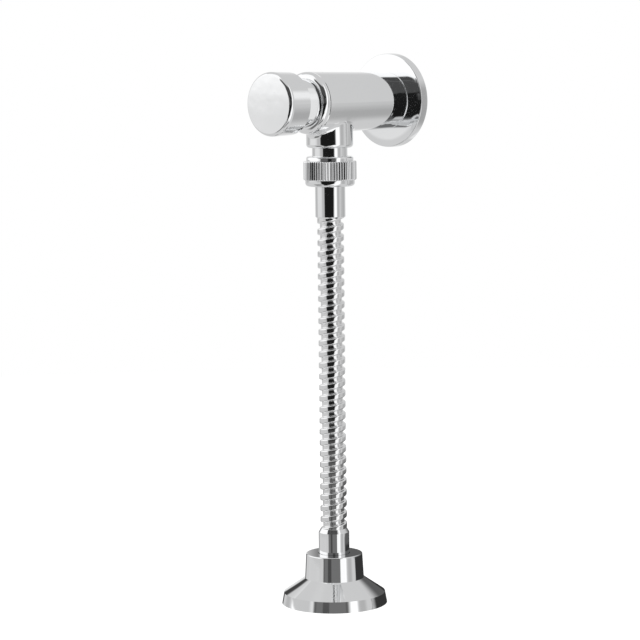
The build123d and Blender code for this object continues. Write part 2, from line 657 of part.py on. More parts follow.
# Bell: thin shell with a hub inside its top that holds the O-ring
BELL_HOLE_D = SLEEVE_D + 2 * FREE_GAP
BELL_RING_D = SLEEVE_D + BELL_RING_SECTION_D + 2 * SLIDE_FIT
BELL_GROOVE_D = BELL_RING_D + BELL_RING_SECTION_D + 2 * SLIDE_FIT
BELL_HUB_D = BELL_HOLE_D + 2 * BELL_HUB_W
BELL_WAIST = BELL_TOP_DEPTH + BELL_WAIST_DROP
BELL_CONE_END = BELL_TOP_DEPTH + BELL_CONE_DROP
BELL_RING_DEPTH = BELL_TOP_DEPTH + BELL_RING_FROM_TOP
RING_HALF = BELL_RING_SECTION_D / 2 + SLIDE_FIT
with BuildPart() as spud_bell:
    with BuildSketch(DOWN_RISER) as bell_face:
        with BuildLine():
            Polyline(
                (BELL_HOLE_D / 2, BELL_TOP_DEPTH),
                (BELL_TOP_D / 2, BELL_TOP_DEPTH),
                (BELL_WAIST_D / 2, BELL_WAIST),
                (BELL_CONE_D / 2, BELL_CONE_END),
                (BELL_RIM_D / 2, BELL_BOTTOM),
                (BELL_RIM_D / 2 - BELL_WALL, BELL_BOTTOM),
                (BELL_CONE_D / 2 - BELL_WALL, BELL_CONE_END + BELL_WALL),
                (BELL_WAIST_D / 2 - BELL_WALL, BELL_WAIST + BELL_WALL),
                (BELL_TOP_D / 2 - BELL_WALL, BELL_TOP_DEPTH + BELL_WALL),
                (BELL_HUB_D / 2, BELL_TOP_DEPTH + BELL_WALL),
                (BELL_HUB_D / 2, BELL_HUB_END),
                (BELL_HOLE_D / 2, BELL_HUB_END),
                (BELL_HOLE_D / 2, BELL_RING_DEPTH + RING_HALF),
                (BELL_GROOVE_D / 2, BELL_RING_DEPTH + RING_HALF),
                (BELL_GROOVE_D / 2, BELL_RING_DEPTH - RING_HALF),
                (BELL_HOLE_D / 2, BELL_RING_DEPTH - RING_HALF),
                close=True,
            )
        make_face()
        corners = bell_face.vertices()
        top_corner = corners.sort_by_distance(DOWN_RISER.from_local_coords(
            Vector(BELL_TOP_D / 2, BELL_TOP_DEPTH)))[0]
        waist_corner = corners.sort_by_distance(DOWN_RISER.from_local_coords(
            Vector(BELL_WAIST_D / 2, BELL_WAIST)))[0]
        cone_corner = corners.sort_by_distance(DOWN_RISER.from_local_coords(
            Vector(BELL_CONE_D / 2, BELL_CONE_END)))[0]
        fillet(top_corner, BELL_TOP_R)
        fillet(waist_corner, BELL_WAIST_R)
        fillet(cone_corner, BELL_RIM_R)
    revolve(axis=RISER_AXIS)
spud_bell.part.label = "spud_bell"
export_step(spud_bell.part, "parts/spud_bell.step")

with BuildPart() as bell_o_ring:
    revolve(ring_face(DOWN_RISER, BELL_RING_D, BELL_RING_SECTION_D, BELL_RING_DEPTH), axis=RISER_AXIS)
bell_o_ring.part.label = "bell_o_ring"
export_step(bell_o_ring.part, "parts/bell_o_ring.step")

# Rubber bung that seals the sleeve in the mouth of the urinal
with BuildPart() as spud_seal:
    revolve(turned(DOWN_RISER, [
        (SLEEVE_D / 2, BUNG_DEPTH),
        (BUNG_FLANGE_D / 2, BUNG_DEPTH),
        (BUNG_FLANGE_D / 2, BUNG_DEPTH + BUNG_FLANGE_T),
        (BUNG_TOP_D / 2, BUNG_DEPTH + BUNG_FLANGE_T),
        (BUNG_END_D / 2, BUNG_DEPTH + BUNG_L),
        (SLEEVE_D / 2, BUNG_DEPTH + BUNG_L),
    ]), axis=RISER_AXIS)
spud_seal.part.label = "spud_seal"
export_step(spud_seal.part, "parts/spud_seal.step")
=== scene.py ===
import json
import logging
import math
from collections.abc import Callable, Sequence
from dataclasses import dataclass
from enum import Enum

import bmesh
import bpy
from mathutils import Matrix, Vector


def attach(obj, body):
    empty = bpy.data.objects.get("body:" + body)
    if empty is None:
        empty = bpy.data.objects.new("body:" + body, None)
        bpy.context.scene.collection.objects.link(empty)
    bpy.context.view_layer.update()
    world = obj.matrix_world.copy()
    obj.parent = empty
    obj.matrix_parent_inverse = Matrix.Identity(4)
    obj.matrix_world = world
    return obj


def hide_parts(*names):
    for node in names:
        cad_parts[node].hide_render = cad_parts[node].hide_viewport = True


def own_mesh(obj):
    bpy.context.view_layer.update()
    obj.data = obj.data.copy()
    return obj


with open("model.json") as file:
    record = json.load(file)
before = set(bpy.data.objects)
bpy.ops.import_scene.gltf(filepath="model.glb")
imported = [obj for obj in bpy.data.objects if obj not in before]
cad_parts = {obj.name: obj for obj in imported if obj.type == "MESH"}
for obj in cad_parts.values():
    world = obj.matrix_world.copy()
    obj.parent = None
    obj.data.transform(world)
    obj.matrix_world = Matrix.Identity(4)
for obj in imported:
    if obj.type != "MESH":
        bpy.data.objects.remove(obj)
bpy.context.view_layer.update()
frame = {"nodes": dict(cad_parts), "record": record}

Socket = bpy.types.NodeSocket
Edges = list[bmesh.types.BMEdge]
Triple = tuple[float, float, float]

LOG = logging.getLogger("urinal_valve")
# Metres in a millimetre. The part is measured in millimetres, lamps and floor in metres.
MM = 0.001
# Distance of the riser's axis from the wall, in millimetres.
OUTLET_FORWARD = 55.6
# Level directions to the camera and to its right, from which bearings are counted.
FACING = Vector((0.6944, -0.7196, 0.0))
ASIDE = Vector((0.7205, 0.6935, 0.0))
# Share of the light that polished plate mirrors.
PLATE_SHINE = 0.93
# Sockets of a mixing node by what it mixes: its share, first, second and result.
MIX_SOCKETS = {"FLOAT": (0, 2, 3, 0), "RGBA": (0, 6, 7, 2)}
# Fields of a studio panel that shape its window.
PANEL_FIELDS = ("centre", "half_width", "low", "high", "side_soft", "edge_soft", "lean", "taper")
# Degrees between the segments of a lighting card.
CARD_STEP = 3
# Vertices this close, in metres, become one: in a whole skin, and between a screw's turns.
SKIN_WELD = 0.000002
TURN_WELD = 0.000004
# Vertices this close to a cut, in metres, lie on it: when cutting, and when looking for its edges.
CUT_SNAP = 0.0000005
CUT_SEARCH = 0.00001


class Spindle(Enum):
    """The two axes that the turned pieces stand on: their centre, direction and side."""

    VALVE = ((0, 0, 0), (0, -1, 0), (0, 0, 1))
    RISER = ((0, -OUTLET_FORWARD * MM, 0), (0, 0, -1), (0, 1, 0))

    def centre(self) -> Vector:
        """A point on the axis, in metres."""
        return Vector(self.value[0])

    def direction(self) -> Vector:
        """The way that the distance along the axis grows: to the user, or down."""
        return Vector(self.value[1])

    def side(self) -> Vector:
        """The second direction across the axis; the first is +X."""
        return Vector(self.value[2])

    def axis(self) -> Vector:
        """The way that a right-handed turn from +X to the side goes round."""
        return Vector((1, 0, 0)).cross(self.side())

    def place(self, radius: float, along: float, turn: float = 0.0) -> Vector:
        """Finds a point from its distances in millimetres.

        Args:
            radius: Distance from the axis.
            along: Distance from the wall, or depth below the valve axis.
            turn: Angle round the axis from +X, in radians.

        Returns:
            The point in metres.
        """
        across = Vector((1, 0, 0)) * math.cos(turn) + self.side() * math.sin(turn)
        return self.centre() + across * radius * MM + self.direction() * along * MM

    def turn(self, point: Vector) -> float:
        """Finds the angle of a point round the axis.

        Args:
            point: Point in metres.

        Returns:
            The angle from +X, in radians.
        """
        away = point - self.centre()
        return math.atan2(away.dot(self.side()), away.x)


def shown_as(level: float) -> float:
    """Finds how bright a thing has to be for polished plate to show it as a grey.

    Args:
        level: Grey from 0 to 1 on the screen.

    Returns:
        The strength in linear light.
    """
    linear = level / 12.92 if level < 0.04045 else ((level + 0.055) / 1.055) ** 2.4
    return linear / PLATE_SHINE


def stand(name: str, data: bpy.types.ID | bmesh.types.BMesh) -> bpy.types.Object:
    """Stands a camera, a lamp or a mesh in the scene.

    Args:
        name: Name of the object.
        data: Its camera or lamp, or the mesh under construction, which ends here.

    Returns:
        The object.
    """
    if isinstance(data, bmesh.types.BMesh):
        mesh = bpy.data.meshes.new(name)
        data.to_mesh(mesh)
        data.free()
        data = mesh
    made = bpy.data.objects.new(name, data)
    bpy.context.scene.collection.objects.link(made)
    return made


class Wiring:
    """A node tree with short calls for the nodes that the finishes and the studio use."""

    def __init__(self, owner: bpy.types.ID, empty: bool = True) -> None:
        """Opens the owner's node tree.

        Args:
            owner: Material or world, or a node tree of its own.
            empty: True to delete the nodes that it starts with.
        """
        if not isinstance(owner, bpy.types.NodeTree):
            owner.use_nodes = True
            owner = owner.node_tree
        self.tree = owner
        if empty:
            self.tree.nodes.clear()

    def node(self, kind: str, **settings: object) -> bpy.types.Node:
        """Adds a node.

        Args:
            kind: Blender's name of the node type.
            settings: Properties of the node.

        Returns:
            The node.
        """
        made = self.tree.nodes.new(kind)
        for name, value in settings.items():
            setattr(made, name, value)
        return made

    def feed(self, source: object, socket: Socket) -> None:
        """Links an output to a socket, or writes a plain value on it.

        Args:
            source: Output socket, number or tuple.
            socket: Input socket that takes it.
        """
        if isinstance(source, Socket):
            self.tree.links.new(source, socket)
        else:
            socket.default_value = source

    def math(self, operation: str, *values: object) -> Socket:
        """Adds a Math node.

        Args:
            operation: Name of the operation.
            values: Inputs, as sockets or numbers.

        Returns:
            The node's output.
        """
        made = self.node("ShaderNodeMath", operation=operation)
        for value, socket in zip(values, made.inputs):
            self.feed(value, socket)
        return made.outputs[0]

    def step(self, value: object, low: object, high: object, falls: bool = False) -> Socket:
        """Adds a smooth step from 0 at low to 1 at high, or one that falls from 1 to 0.

        Args:
            value: Socket or number that is read.
            low: Where the step starts.
            high: Where the step ends.
            falls: True for a falling step.

        Returns:
            The step.
        """
        made = self.node("ShaderNodeMapRange", interpolation_type="SMOOTHSTEP")
        ends = {"From Min": low, "From Max": high, "To Min": float(falls), "To Max": float(not falls)}
        for label, source in {"Value": value, **ends}.items():
            self.feed(source, made.inputs[label])
        return made.outputs["Result"]

    def between(self, share: object, first: object, second: object, kind: str = "FLOAT") -> Socket:
        """Adds a mix of two numbers or colours.

        Args:
            share: Share of the second.
            first: What it gives at share 0.
            second: What it gives at share 1.
            kind: FLOAT for numbers, RGBA for colours.

        Returns:
            The mix.
        """
        made = self.node("ShaderNodeMix", data_type=kind)
        *places, result = MIX_SOCKETS[kind]
        for source, place in zip((share, first, second), places):
            self.feed(source, made.inputs[place])
        return made.outputs[result]

    def dot(self, vector: object, axis: Vector) -> Socket:
        """Adds a dot product with a fixed direction.

        Args:
            vector: Socket that is read.
            axis: The direction.

        Returns:
            The product.
        """
        made = self.node("ShaderNodeVectorMath", operation="DOT_PRODUCT")
        self.feed(vector, made.inputs[0])
        made.inputs[1].default_value = axis
        return made.outputs["Value"]

    def polar(self, vector: object, first: Vector, second: Vector) -> Socket:
        """Finds the angle of a vector in the plane of two directions.

        Args:
            vector: Socket that is read.
            first: Direction of angle 0.
            second: Direction of angle 90.

        Returns:
            The angle in degrees.
        """
        turned = self.math("ARCTAN2", self.dot(vector, second), self.dot(vector, first))
        return self.math("DEGREES", turned)

    def off(self, angle: object, middle: object) -> Socket:
        """Finds how far two angles are apart, the short way round.

        Args:
            angle: One angle in degrees.
            middle: The other.

        Returns:
            The distance in degrees.
        """
        turned = self.math("WRAP", self.math("SUBTRACT", angle, middle), 180.0, -180.0)
        return self.math("ABSOLUTE", turned)

    def group(self, tree: bpy.types.NodeTree, **values: object) -> Socket:
        """Places a shared group.

        Args:
            tree: The group's tree.
            values: Values of its inputs.

        Returns:
            The group's output.
        """
        made = self.node("ShaderNodeGroup", node_tree=tree)
        for name, value in values.items():
            self.feed(value, made.inputs[name])
        return made.outputs[0]


class SharedGroups:
    """Shader node groups that several finishes use, each built once."""

    built: dict[str, bpy.types.NodeTree] = {}

    @classmethod
    def start(cls, name: str, inputs: tuple[str, ...]) -> tuple[Wiring, object, Socket]:
        """Opens a new group with one number as its output.

        Args:
            name: Name of the group.
            inputs: Names of its inputs; Vector is a vector, the others are numbers.

        Returns:
            Its wiring, the outputs of its input node and the socket of its result.
        """
        tree = bpy.data.node_groups.new(name, "ShaderNodeTree")
        for label in inputs:
            kind = "NodeSocketVector" if label == "Vector" else "NodeSocketFloat"
            tree.interface.new_socket(label, in_out="INPUT", socket_type=kind)
        tree.interface.new_socket("Value", in_out="OUTPUT", socket_type="NodeSocketFloat")
        wiring = Wiring(tree)
        cls.built[name] = tree
        got = wiring.node("NodeGroupInput").outputs
        return wiring, got, wiring.node("NodeGroupOutput").inputs["Value"]

    @classmethod
    def cloudy(cls) -> bpy.types.NodeTree:
        """Soft cloudy variation between two values.

        Returns:
            The group.
        """
        if "cloudy_marks" not in cls.built:
            wiring, got, result = cls.start("cloudy_marks", ("Vector", "Scale", "Detail", "Low", "High"))
            noise = wiring.node("ShaderNodeTexNoise")
            for label in ("Vector", "Scale", "Detail"):
                wiring.feed(got[label], noise.inputs[label])
            mask = wiring.step(noise.outputs["Fac"], 0.3, 0.7)
            wiring.feed(wiring.between(mask, got["Low"], got["High"]), result)
        return cls.built["cloudy_marks"]

    @classmethod
    def turned(cls) -> bpy.types.NodeTree:
        """Fine rings that a lathe leaves, round +Z of the coordinates that come in.

        Returns:
            The group.
        """
        if "turning_marks" not in cls.built:
            wiring, got, result = cls.start("turning_marks", ("Vector", "Rings", "Low", "High"))
            parts = wiring.node("ShaderNodeSeparateXYZ")
            wiring.feed(got["Vector"], parts.inputs[0])
            across = wiring.math("MULTIPLY", parts.outputs["X"], parts.outputs["X"])
            across = wiring.math("MULTIPLY_ADD", parts.outputs["Y"], parts.outputs["Y"], across)
            lathe = wiring.node("ShaderNodeCombineXYZ")
            wiring.feed(wiring.math("SQRT", across), lathe.inputs["X"])
            wiring.feed(parts.outputs["Z"], lathe.inputs["Y"])
            noise = wiring.node("ShaderNodeTexNoise", noise_dimensions="2D")
            wiring.feed(lathe.outputs[0], noise.inputs["Vector"])
            wiring.feed(got["Rings"], noise.inputs["Scale"])
            noise.inputs["Detail"].default_value = 3.0
            mask = wiring.step(noise.outputs["Fac"], 0.35, 0.65)
            wiring.feed(wiring.between(mask, got["Low"], got["High"]), result)
        return cls.built["turning_marks"]


class Compass(Enum):
    """How a studio panel's two angles are counted."""

    HORIZON = "horizon"
    WALL = "wall"


@dataclass(frozen=True)
class StudioPanel:
    """A light or dark part of the studio, as polished metal mirrors it.

    On the horizon compass, across is the bearing from the camera to its right and up is the height over the
    horizon. On the wall compass, across is the turn round the valve axis and up is the angle off that axis.
    All are in degrees, and the level is a grey from 0 to 1 on the screen. Lean moves the middle and taper
    widens the panel with each degree up.
    """

    centre: float
    half_width: float
    low: float
    high: float
    level: float
    side_soft: float
    edge_soft: float
    lean: float = 0.0
    taper: float = 0.0
    compass: Compass = Compass.HORIZON


@dataclass(frozen=True)
class LightCard:
    """A curved card that stands near the part and shows only in its polished surfaces."""

    name: str
    spindle: Spindle
    radius: float
    start: float
    end: float
    turn_start: float
    turn_end: float
    level: float
    turn_soft: float
    start_soft: float
    end_soft: float

    def build(self) -> None:
        """Makes the card and its soft-edged glow."""
        built = bmesh.new()
        first = math.radians(self.turn_start)
        ends = [built.verts.new(self.spindle.place(self.radius, along, first)) for along in (self.start, self.end)]
        sweep = self.turn_end - self.turn_start
        bmesh.ops.spin(
            built, geom=[*ends, built.edges.new(ends)], cent=self.spindle.centre(), axis=self.spindle.axis(),
            angle=math.radians(sweep), steps=round(sweep / CARD_STEP),
        )
        card = stand(self.name, built)
        card.visible_camera = card.visible_diffuse = card.visible_shadow = False
        card.data.materials.append(self.glow())

    def glow(self) -> bpy.types.Material:
        """Builds the light of the card, which fades out at its edges.

        Returns:
            The material.
        """
        material = bpy.data.materials.new(self.name)
        wiring = Wiring(material)
        moved = wiring.node("ShaderNodeVectorMath", operation="SUBTRACT")
        wiring.feed(wiring.node("ShaderNodeTexCoord").outputs["Object"], moved.inputs[0])
        moved.inputs[1].default_value = self.spindle.centre()
        turned = wiring.polar(moved.outputs[0], Vector((1, 0, 0)), self.spindle.side())
        along = wiring.math("MULTIPLY", wiring.dot(moved.outputs[0], self.spindle.direction()), 1 / MM)
        middle = (self.turn_start + self.turn_end) / 2
        half = (self.turn_end - self.turn_start) / 2
        mask = wiring.step(wiring.off(turned, middle), half - self.turn_soft, half, True)
        mask = wiring.math("MULTIPLY", mask, wiring.step(along, self.start, self.start + self.start_soft))
        mask = wiring.math("MULTIPLY", mask, wiring.step(along, self.end - self.end_soft, self.end, True))
        glow = wiring.node("ShaderNodeEmission")
        glow.inputs["Strength"].default_value = shown_as(self.level)
        both = wiring.node("ShaderNodeMixShader")
        wiring.feed(mask, both.inputs["Fac"])
        wiring.feed(wiring.node("ShaderNodeBsdfTransparent").outputs[0], both.inputs[1])
        wiring.feed(glow.outputs[0], both.inputs[2])
        wiring.feed(both.outputs[0], wiring.node("ShaderNodeOutputMaterial").inputs["Surface"])
        return material


@dataclass(frozen=True)
class Lamp:
    """A large soft lamp for rubber, brass and plastic, which polished metal doesn't mirror."""

    name: str
    place: Triple
    size: float
    power: float
    target: Triple = (0, -0.05, -0.15)

    def build(self) -> None:
        """Hangs the lamp and turns it to the part."""
        data = bpy.data.lights.new(self.name, "AREA")
        data.size = self.size
        data.energy = self.power
        made = stand(self.name, data)
        made.location = self.place
        made.rotation_euler = (Vector(self.target) - made.location).to_track_quat("-Z", "Y").to_euler()
        made.visible_glossy = False


@dataclass(frozen=True)
class Studio:
    """Camera, lamps, pale floor and the surroundings that the polished metal mirrors."""

    camera_place: Triple = (980.469, -1081.548, 31.007)
    camera_right: Triple = (0.72043, 0.69343, -0.01145)
    camera_up: Triple = (-0.06947, 0.08858, 0.99364)
    camera_back: Triple = (0.69004, -0.71506, 0.11199)
    lens: float = 135.0
    sensor: float = 36.0
    nearest: float = 0.01
    farthest: float = 50.0
    floor_height: float = -1.1
    floor_radius: float = 7.0
    floor_steps: int = 96
    floor_grey: float = 0.9
    floor_glow: float = 0.45
    plain_level: float = 0.79
    dull_light: float = 0.75
    lamps: tuple[Lamp, ...] = (
        Lamp("soft_key", (-0.9, -1.6, 1.3), 1.4, 14.0),
        Lamp("soft_fill", (1.8, -0.6, 0.9), 1.6, 8.0),
    )
    # Centre, half width, low, high, level, side soft, edge soft.
    panels: tuple[StudioPanel, ...] = (
        StudioPanel(-95, 42, -1.2, 40, 1.02, 14, 0.9),
        StudioPanel(-88, 32, 38, 75, 1.0, 12, 2),
        StudioPanel(-92, 22, -30, -1.3, 0.87, 12, 0.9),
        StudioPanel(-92, 26, -30, -4.5, 0.80, 12, 2),
        StudioPanel(-57, 7, -5.5, 0, 0.71, 6, 1.5),
        StudioPanel(-128, 12, -5.5, 0, 0.71, 8, 1.5),
        StudioPanel(64, 9, -14, 8, 0.69, 6, 4),
        StudioPanel(118, 18, -16, -1, 0.68, 12, 3),
        StudioPanel(172, 12, -20, 1, 0.90, 12, 3),
        StudioPanel(-46, 24, 25, 43.0, 0.655, 18, 0.3, compass=Compass.WALL),
        StudioPanel(-16, 92, 43.1, 44.75, 0.89, 6, 0.15, compass=Compass.WALL),
        StudioPanel(-14, 50, 44.75, 49, 0.63, 16, 0.15, compass=Compass.WALL),
        StudioPanel(180, 32, 30, 60, 0.89, 20, 8, compass=Compass.WALL),
        StudioPanel(42, 8.5, -60, 60, 1.05, 4, 8, lean=0.25),
        StudioPanel(-64, 20, -50, -20, 0.42, 8, 5),
        StudioPanel(30, 20, -46, -3, 1.0, 4, 3, lean=0.6),
        StudioPanel(-8.5, 38, 14, 54, 0.28, 5, 4, lean=0.12),
        StudioPanel(-51, 12, 33, 54, 0.28, 4, 5),
        StudioPanel(-8.5, 37.5, -4, 19.5, 0.10, 5, 1.5),
        StudioPanel(-28, 18, -1.0, 16, 0.36, 4, 0.5),
        StudioPanel(19, 10.5, -1.0, 16, 0.36, 4, 0.5),
        StudioPanel(-8.5, 38, -46, -1, 0.10, 4, 1.5, lean=0.3, taper=0.75),
        StudioPanel(48.6, 9, -47, -27, 0.10, 3, 2, lean=1.8),
    )
    # Radius, start, end, turns from and to, level, soft at the turns, at the start and at the end.
    cards: tuple[LightCard, ...] = (
        LightCard("button_strip", Spindle.VALVE, 130, -48, -16, 8, 52, 0.93, 17, 6, 6),
        LightCard("riser_flag", Spindle.RISER, 90, 205, 283, 30, 152, 0.35, 16, 45, 3),
        LightCard("bell_flag", Spindle.RISER, 92, 275, 330, 30, 136, 0.2, 14, 2, 3),
        LightCard("bell_line", Spindle.RISER, 130, 190, 345, -201, -184, 0.25, 5, 40, 3),
        LightCard("rim_card", Spindle.RISER, 200, 262, 300, -178, -90, 0.77, 12, 8, 4),
        LightCard("bell_grey", Spindle.RISER, 200, 205, 340, -86, -22, 0.43, 3, 70, 10),
        LightCard("bell_dark", Spindle.RISER, 195, 225, 340, -72, -56, 0.28, 3, 70, 10),
    )

    def camera(self) -> None:
        """Stands the camera where the photograph was taken from."""
        data = bpy.data.cameras.new("photo_camera")
        data.lens = self.lens
        data.sensor_width = self.sensor
        data.clip_start = self.nearest
        data.clip_end = self.farthest
        made = stand("photo_camera", data)
        turn = Matrix((self.camera_right, self.camera_up, self.camera_back)).transposed()
        made.matrix_world = Matrix.Translation(Vector(self.camera_place) * MM) @ turn.to_4x4()
        bpy.context.scene.camera = made

    def floor(self) -> None:
        """Lays the pale floor, far enough below for a valve on a wall."""
        built = bmesh.new()
        bmesh.ops.create_circle(built, cap_ends=True, segments=self.floor_steps, radius=self.floor_radius)
        bmesh.ops.translate(built, verts=built.verts, vec=(0, 0, self.floor_height))
        made = stand("floor", built)
        made.visible_glossy = False
        material = bpy.data.materials.new("pale_floor")
        made.data.materials.append(material)
        wiring = Wiring(material)
        path = wiring.node("ShaderNodeLightPath")
        paint = wiring.node("ShaderNodeBsdfDiffuse")
        paint.inputs["Color"].default_value = (self.floor_grey, self.floor_grey, self.floor_grey, 1.0)
        glow = wiring.node("ShaderNodeEmission")
        wiring.feed(wiring.math("MULTIPLY", path.outputs["Is Camera Ray"], self.floor_glow), glow.inputs["Strength"])
        both = wiring.node("ShaderNodeAddShader")
        wiring.feed(paint.outputs[0], both.inputs[0])
        wiring.feed(glow.outputs[0], both.inputs[1])
        wiring.feed(both.outputs[0], wiring.node("ShaderNodeOutputMaterial").inputs["Surface"])

    def window(self) -> bpy.types.NodeTree:
        """Builds the mask of a panel, a soft-edged window in two angles.

        Returns:
            The group.
        """
        wiring, got, result = SharedGroups.start("studio_window", ("across", "up", *PANEL_FIELDS))
        middle = wiring.math("MULTIPLY_ADD", got["up"], got["lean"], got["centre"])
        away = wiring.off(got["across"], middle)
        half = wiring.math("MULTIPLY_ADD", got["up"], got["taper"], got["half_width"])
        soft = got["side_soft"]
        mask = wiring.step(away, wiring.math("SUBTRACT", half, soft), wiring.math("ADD", half, soft), True)
        soft = got["edge_soft"]
        for edge in ("low", "high"):
            start = wiring.math("SUBTRACT", got[edge], soft)
            end = wiring.math("ADD", got[edge], soft)
            mask = wiring.math("MULTIPLY", mask, wiring.step(got["up"], start, end, edge == "high"))
        wiring.feed(mask, result)
        return wiring.tree

    def surroundings(self) -> None:
        """Sets the world: white to the camera, panels to polished metal, plain light to the rest."""
        world = bpy.data.worlds.new("studio")
        bpy.context.scene.world = world
        wiring = Wiring(world)
        way = wiring.node("ShaderNodeTexCoord").outputs["Generated"]
        height = wiring.math("DEGREES", wiring.math("ARCSINE", wiring.dot(way, Vector((0, 0, 1)))))
        off_wall = wiring.math("DEGREES", wiring.math("ARCCOSINE", wiring.dot(way, Vector((0, 1, 0)))))
        angles = {
            Compass.HORIZON: (wiring.polar(way, FACING, ASIDE), height),
            Compass.WALL: (wiring.polar(way, Vector((1, 0, 0)), Vector((0, 0, 1))), off_wall),
        }
        window = self.window()
        level = shown_as(self.plain_level)
        for panel in self.panels:
            across, up = angles[panel.compass]
            edges = {label: getattr(panel, label) for label in PANEL_FIELDS}
            mask = wiring.group(window, across=across, up=up, **edges)
            level = wiring.between(mask, level, shown_as(panel.level))
        path = wiring.node("ShaderNodeLightPath")
        mirrored = wiring.math("MAXIMUM", path.outputs["Is Glossy Ray"], path.outputs["Is Transmission Ray"])
        strength = wiring.between(mirrored, self.dull_light, level)
        strength = wiring.between(path.outputs["Is Camera Ray"], strength, 1.0)
        glow = wiring.node("ShaderNodeBackground")
        glow.inputs["Color"].default_value = (1.0, 1.0, 1.0, 1.0)
        wiring.feed(strength, glow.inputs["Strength"])
        wiring.feed(glow.outputs[0], wiring.node("ShaderNodeOutputWorld").inputs["Surface"])

    def build(self) -> None:
        """Sets up everything round the part."""
        bpy.context.scene.view_settings.view_transform = "Standard"
        self.camera()
        for lamp in self.lamps:
            lamp.build()
        self.floor()
        self.surroundings()
        for card in self.cards:
            card.build()


class Coat(Wiring):
    """The nodes of one finish: a Principled shader that reads object coordinates."""

    def __init__(self, name: str, metallic: float) -> None:
        """Starts the material.

        Args:
            name: Name of the material.
            metallic: 1 for metal, 0 for the rest.
        """
        self.made = bpy.data.materials.new(name)
        super().__init__(self.made, empty=False)
        self.shader = self.tree.nodes["Principled BSDF"]
        self.shader.inputs["Metallic"].default_value = metallic
        self.place = self.node("ShaderNodeTexCoord").outputs["Object"]

    def clouds(self, scale: float, detail: float, low: float = 0.0, high: float = 1.0) -> Socket:
        """Adds soft cloudy variation.

        Args:
            scale: How small the clouds are.
            detail: How finely they break up.
            low: Value between them.
            high: Value inside them.

        Returns:
            The varying value.
        """
        return self.group(SharedGroups.cloudy(), Vector=self.place, Scale=scale, Detail=detail, Low=low, High=high)

    def cover(
        self, roughness: Socket, colours: tuple[Triple, Triple], stain: Socket, relief: Socket, depth: float
    ) -> bpy.types.Material:
        """Feeds the shader.

        Args:
            roughness: The roughness.
            colours: Colour of the surface, and that of its stains.
            stain: Where it is stained, from 0 to 1.
            relief: Height of the surface, from 0 to 1.
            depth: Height in metres at 1.

        Returns:
            The material.
        """
        self.feed(roughness, self.shader.inputs["Roughness"])
        colour = self.between(stain, (*colours[0], 1.0), (*colours[1], 1.0), "RGBA")
        self.feed(colour, self.shader.inputs["Base Color"])
        bump = self.node("ShaderNodeBump")
        bump.inputs["Distance"].default_value = depth
        bump.inputs["Strength"].default_value = 1.0
        self.feed(relief, bump.inputs["Height"])
        self.feed(bump.outputs[0], self.shader.inputs["Normal"])
        return self.made


@dataclass(frozen=True)
class PolishedPlate:
    """Polished plate with faint wiping marks and the slight waviness of buffed brass."""

    name: str
    colour: Triple = (0.925, 0.93, 0.935)
    clouded: Triple = (0.905, 0.912, 0.92)
    smooth: float = 0.02
    smeared: float = 0.07
    mark_scale: float = 60.0
    haze_scale: float = 20.0
    wave_scale: float = 140.0
    wave_height: float = 0.000004

    def material(self) -> bpy.types.Material:
        """Builds the material.

        Returns:
            The material.
        """
        coat = Coat(self.name, 1.0)
        marks = coat.clouds(self.mark_scale, 5.0, self.smooth, self.smeared)
        haze = coat.clouds(self.haze_scale, 2.0)
        wave = coat.clouds(self.wave_scale, 1.0)
        return coat.cover(marks, (self.colour, self.clouded), haze, wave, self.wave_height)


@dataclass(frozen=True)
class TurnedMetal:
    """Bare metal with fine rings round the valve's axis, from the lathe or from drawing."""

    name: str
    colour: Triple
    shadow: Triple
    smooth: float = 0.22
    rough: float = 0.42
    rings: float = 6000.0
    ring_height: float = 0.00001
    stain_scale: float = 120.0

    def material(self) -> bpy.types.Material:
        """Builds the material.

        Returns:
            The material.
        """
        coat = Coat(self.name, 1.0)
        lay = coat.node("ShaderNodeMapping", vector_type="TEXTURE")
        coat.feed(coat.place, lay.inputs["Vector"])
        lay.inputs["Rotation"].default_value = (math.radians(90), 0, 0)
        sheen, relief = (
            coat.group(SharedGroups.turned(), Vector=lay.outputs[0], Rings=self.rings, Low=low, High=high)
            for low, high in ((self.smooth, self.rough), (0.0, 1.0))
        )
        stain = coat.clouds(self.stain_scale, 4.0)
        return coat.cover(sheen, (self.colour, self.shadow), stain, relief, self.ring_height)


@dataclass(frozen=True)
class Moulded:
    """Moulded rubber, plastic, foam or pressed fibre."""

    name: str
    colour: Triple
    shadow: Triple
    smooth: float
    rough: float
    grain: float
    grain_height: float
    open_cells: bool = False
    blotch_scale: float = 180.0
    sheen_scale: float = 400.0

    def material(self) -> bpy.types.Material:
        """Builds the material.

        Returns:
            The material.
        """
        coat = Coat(self.name, 0.0)
        sheen = coat.clouds(self.sheen_scale, 3.0, self.smooth, self.rough)
        blotch = coat.clouds(self.blotch_scale, 6.0)
        if self.open_cells:
            cells = coat.node("ShaderNodeTexVoronoi", feature="SMOOTH_F1")
            coat.feed(coat.place, cells.inputs["Vector"])
            coat.feed(self.grain, cells.inputs["Scale"])
            relief = coat.step(cells.outputs["Distance"], 0.1, 0.6)
        else:
            relief = coat.clouds(self.grain, 2.0)
        return coat.cover(sheen, (self.colour, self.shadow), blotch, relief, self.grain_height)


